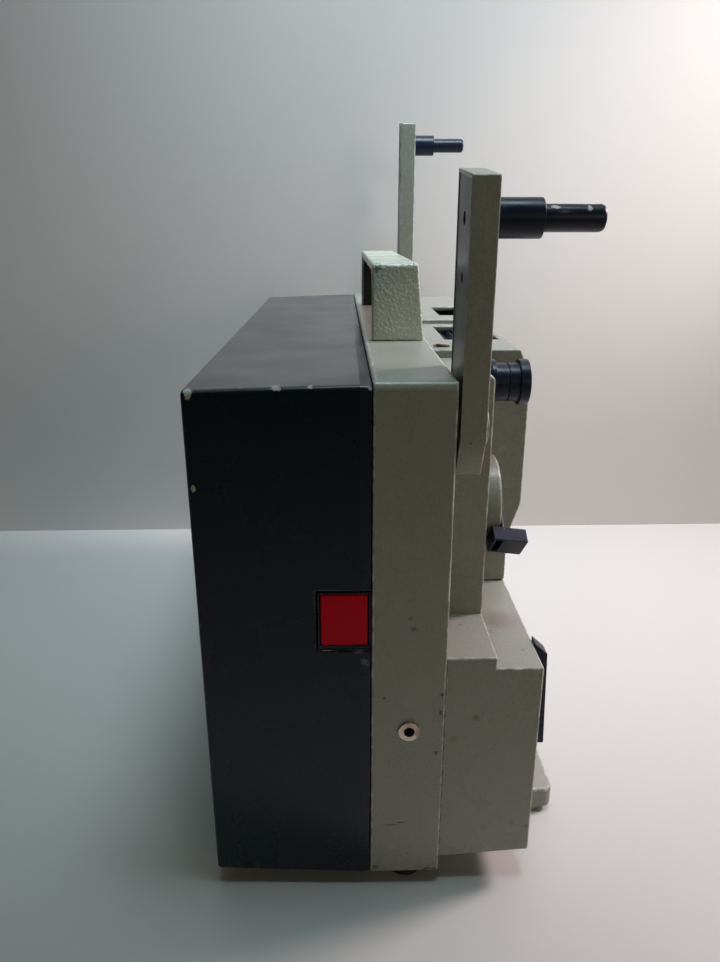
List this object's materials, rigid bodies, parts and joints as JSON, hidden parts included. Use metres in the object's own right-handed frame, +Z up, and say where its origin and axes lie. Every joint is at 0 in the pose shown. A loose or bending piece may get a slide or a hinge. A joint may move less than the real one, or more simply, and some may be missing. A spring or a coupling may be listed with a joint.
{
  "type": "movie projector",
  "caption": "Small-gauge movie projector with folding reel arms, removable drive cover, hinged gate cover, lamphouse, carrying handle and side foot.",
  "frame": {"origin": "centre of the outline in plan, on the surface that the feet stand on", "axes": "+X towards the film side, +Y the way the lens looks, +Z up"},
  "size_m": [0.135, 0.3032, 0.2954],
  "materials": {
    "grey_enamel": "fine textured enamel",
    "hammered_enamel": "hammered enamel",
    "dark_enamel": "semi-gloss dark blue enamel",
    "plate_blue": "satin",
    "black_plastic": "moulded",
    "red_plastic": "smooth",
    "white_plastic": "moulded",
    "rubber": "matte",
    "steel": "turned or sheet",
    "nickel": "plated",
    "bronze": "sintered",
    "motor_paint": "satin",
    "winding": "taped winding",
    "lens_metal": "black anodised",
    "glass": "polished"
  },
  "bodies": {
    "base": {"main_frame": "grey_enamel", "film_housing": "grey_enamel", "base_plate": "grey_enamel", "handle": "hammered_enamel", "button_bezel": "black_plastic", "mains_inlet": "black_plastic", "lamp_socket": "white_plastic", "rubber_feet": "rubber", "handle_liner": "rubber", "drive_belt": "rubber", "takeup_belt": "rubber", "rewind_belt": "rubber", "chassis_plate": "steel", "gate_hinge_pin": "steel", "roller_pin": "steel", "motor_bracket": "steel", "gate_plate": "steel", "transformer_core": "steel", "jack_socket": "nickel", "reflector": "nickel", "condenser": "nickel", "arm_bushes": "bronze", "shaft_bearings": "bronze", "motor_body": "motor_paint", "transformer_coil": "winding", "lens_mount": "lens_metal", "lamp_bulb": "glass"},
    "back_cover": {"back_cover": "dark_enamel"},
    "release_button": {"release_button": "red_plastic"},
    "lamphouse": {"lamphouse": "grey_enamel", "vent_grille": "black_plastic"},
    "gate_cover": {"gate_cover": "grey_enamel"},
    "selector_knob": {"selector_knob": "black_plastic"},
    "control_dial": {"control_dial": "grey_enamel", "dial_lever": "black_plastic"},
    "guide_roller": {"guide_roller": "black_plastic"},
    "motor_rotor": {"motor_shaft": "steel", "cooling_fan": "black_plastic"},
    "main_shaft": {"main_shaft": "steel", "main_pulley": "black_plastic", "drive_worms": "white_plastic", "shutter": "motor_paint"},
    "takeup_gear": {"takeup_gear": "white_plastic"},
    "rewind_gear": {"rewind_gear": "white_plastic"},
    "rear_drive_shaft": {"rear_drive_shaft": "steel"},
    "front_drive_shaft": {"front_drive_shaft": "steel"},
    "rear_arm": {"rear_arm": "grey_enamel", "rear_arm_plate": "plate_blue", "rear_arm_belt": "rubber"},
    "rear_spindle": {"rear_spindle": "black_plastic"},
    "front_arm": {"front_arm": "grey_enamel", "front_arm_plate": "plate_blue", "front_arm_belt": "rubber"},
    "front_spindle": {"front_spindle": "black_plastic"},
    "pressure_plate": {"pressure_plate": "steel"},
    "lens": {"lens_barrel": "lens_metal", "lens_glass": "glass"},
    "focus_ring": {"focus_ring": "black_plastic"}
  },
  "joints": [
    {"name": "cover_slide", "type": "slide", "parent": "base", "child": "back_cover", "axis": [-1, 0, 0], "range_m": [0, 0.065]},
    {"name": "button_press", "type": "slide", "parent": "base", "child": "release_button", "axis": [0, 1, 0], "range_m": [0, 0.003], "stiffness_N_per_m": 500},
    {"name": "lamphouse_slide", "type": "slide", "parent": "base", "child": "lamphouse", "axis": [1, 0, 0], "range_m": [0, 0.045]},
    {"name": "gate_cover_hinge", "type": "hinge", "parent": "base", "child": "gate_cover", "pos_m": [0.04625, 0.04915, 0.0945], "axis": [0, 1, 0], "range_deg": [0, 85]},
    {"name": "selector_turn", "type": "hinge", "parent": "base", "child": "selector_knob", "pos_m": [0.04875, -0.1322, 0.0713], "axis": [1, 0, 0], "range_deg": [-40, 40]},
    {"name": "dial_turn", "type": "hinge", "parent": "base", "child": "control_dial", "pos_m": [0.03565, -0.10055, 0.136], "axis": [1, 0, 0], "range_deg": [-60, 60]},
    {"name": "roller_spin", "type": "hinge", "parent": "base", "child": "guide_roller", "pos_m": [0.03965, -0.1012, 0.1806], "axis": [1, 0, 0], "continuous": true},
    {"name": "motor_spin", "type": "hinge", "parent": "base", "child": "motor_rotor", "pos_m": [-0.03635, -0.06085, 0.062], "axis": [0, 1, 0], "continuous": true},
    {"name": "main_shaft_spin", "type": "hinge", "parent": "base", "child": "main_shaft", "pos_m": [0.00165, 0.00915, 0.14], "axis": [0, 1, 0], "continuous": true},
    {"name": "takeup_gear_spin", "type": "hinge", "parent": "base", "child": "takeup_gear", "pos_m": [0.00165, -0.04285, 0.125], "axis": [1, 0, 0], "continuous": true},
    {"name": "rewind_gear_spin", "type": "hinge", "parent": "base", "child": "rewind_gear", "pos_m": [0.00165, 0.05715, 0.125], "axis": [1, 0, 0], "continuous": true},
    {"name": "rear_drive_spin", "type": "hinge", "parent": "base", "child": "rear_drive_shaft", "pos_m": [0.00965, -0.13635, 0.174], "axis": [1, 0, 0], "continuous": true},
    {"name": "front_drive_spin", "type": "hinge", "parent": "base", "child": "front_drive_shaft", "pos_m": [0.00965, 0.13915, 0.174], "axis": [1, 0, 0], "continuous": true},
    {"name": "rear_arm_fold", "type": "hinge", "parent": "base", "child": "rear_arm", "pos_m": [0.01965, -0.13635, 0.174], "axis": [1, 0, 0], "range_deg": [0, 180]},
    {"name": "rear_spindle_spin", "type": "hinge", "parent": "rear_arm", "child": "rear_spindle", "pos_m": [0.03965, -0.13635, 0.2362], "axis": [1, 0, 0], "continuous": true},
    {"name": "front_arm_fold", "type": "hinge", "parent": "base", "child": "front_arm", "pos_m": [0.01965, 0.13915, 0.174], "axis": [-1, 0, 0], "range_deg": [0, 180]},
    {"name": "front_spindle_spin", "type": "hinge", "parent": "front_arm", "child": "front_spindle", "pos_m": [0.03965, 0.13915, 0.281], "axis": [1, 0, 0], "continuous": true},
    {"name": "pressure_slide", "type": "slide", "parent": "base", "child": "pressure_plate", "axis": [0, 1, 0], "range_m": [0, 0.003], "stiffness_N_per_m": 400},
    {"name": "focus_slide", "type": "slide", "parent": "base", "child": "lens", "axis": [0, 1, 0], "range_m": [0, 0.008]},
    {"name": "focus_turn", "type": "hinge", "parent": "base", "child": "focus_ring", "pos_m": [0.03965, 0.08915, 0.15], "axis": [0, 1, 0], "range_deg": [0, 270]}
  ],
  "couplings": [
    {"joint": "main_shaft_spin", "follows": "motor_spin", "ratio": 0.82353},
    {"joint": "takeup_gear_spin", "follows": "motor_spin", "ratio": 0.041176},
    {"joint": "rewind_gear_spin", "follows": "motor_spin", "ratio": 0.041176},
    {"joint": "rear_drive_spin", "follows": "motor_spin", "ratio": 0.031569},
    {"joint": "front_drive_spin", "follows": "motor_spin", "ratio": 0.031569},
    {"joint": "rear_spindle_spin", "follows": "motor_spin", "ratio": 0.031569},
    {"joint": "front_spindle_spin", "follows": "motor_spin", "ratio": 0.031569},
    {"joint": "focus_turn", "follows": "focus_slide", "rad_per_m": 580}
  ]
}
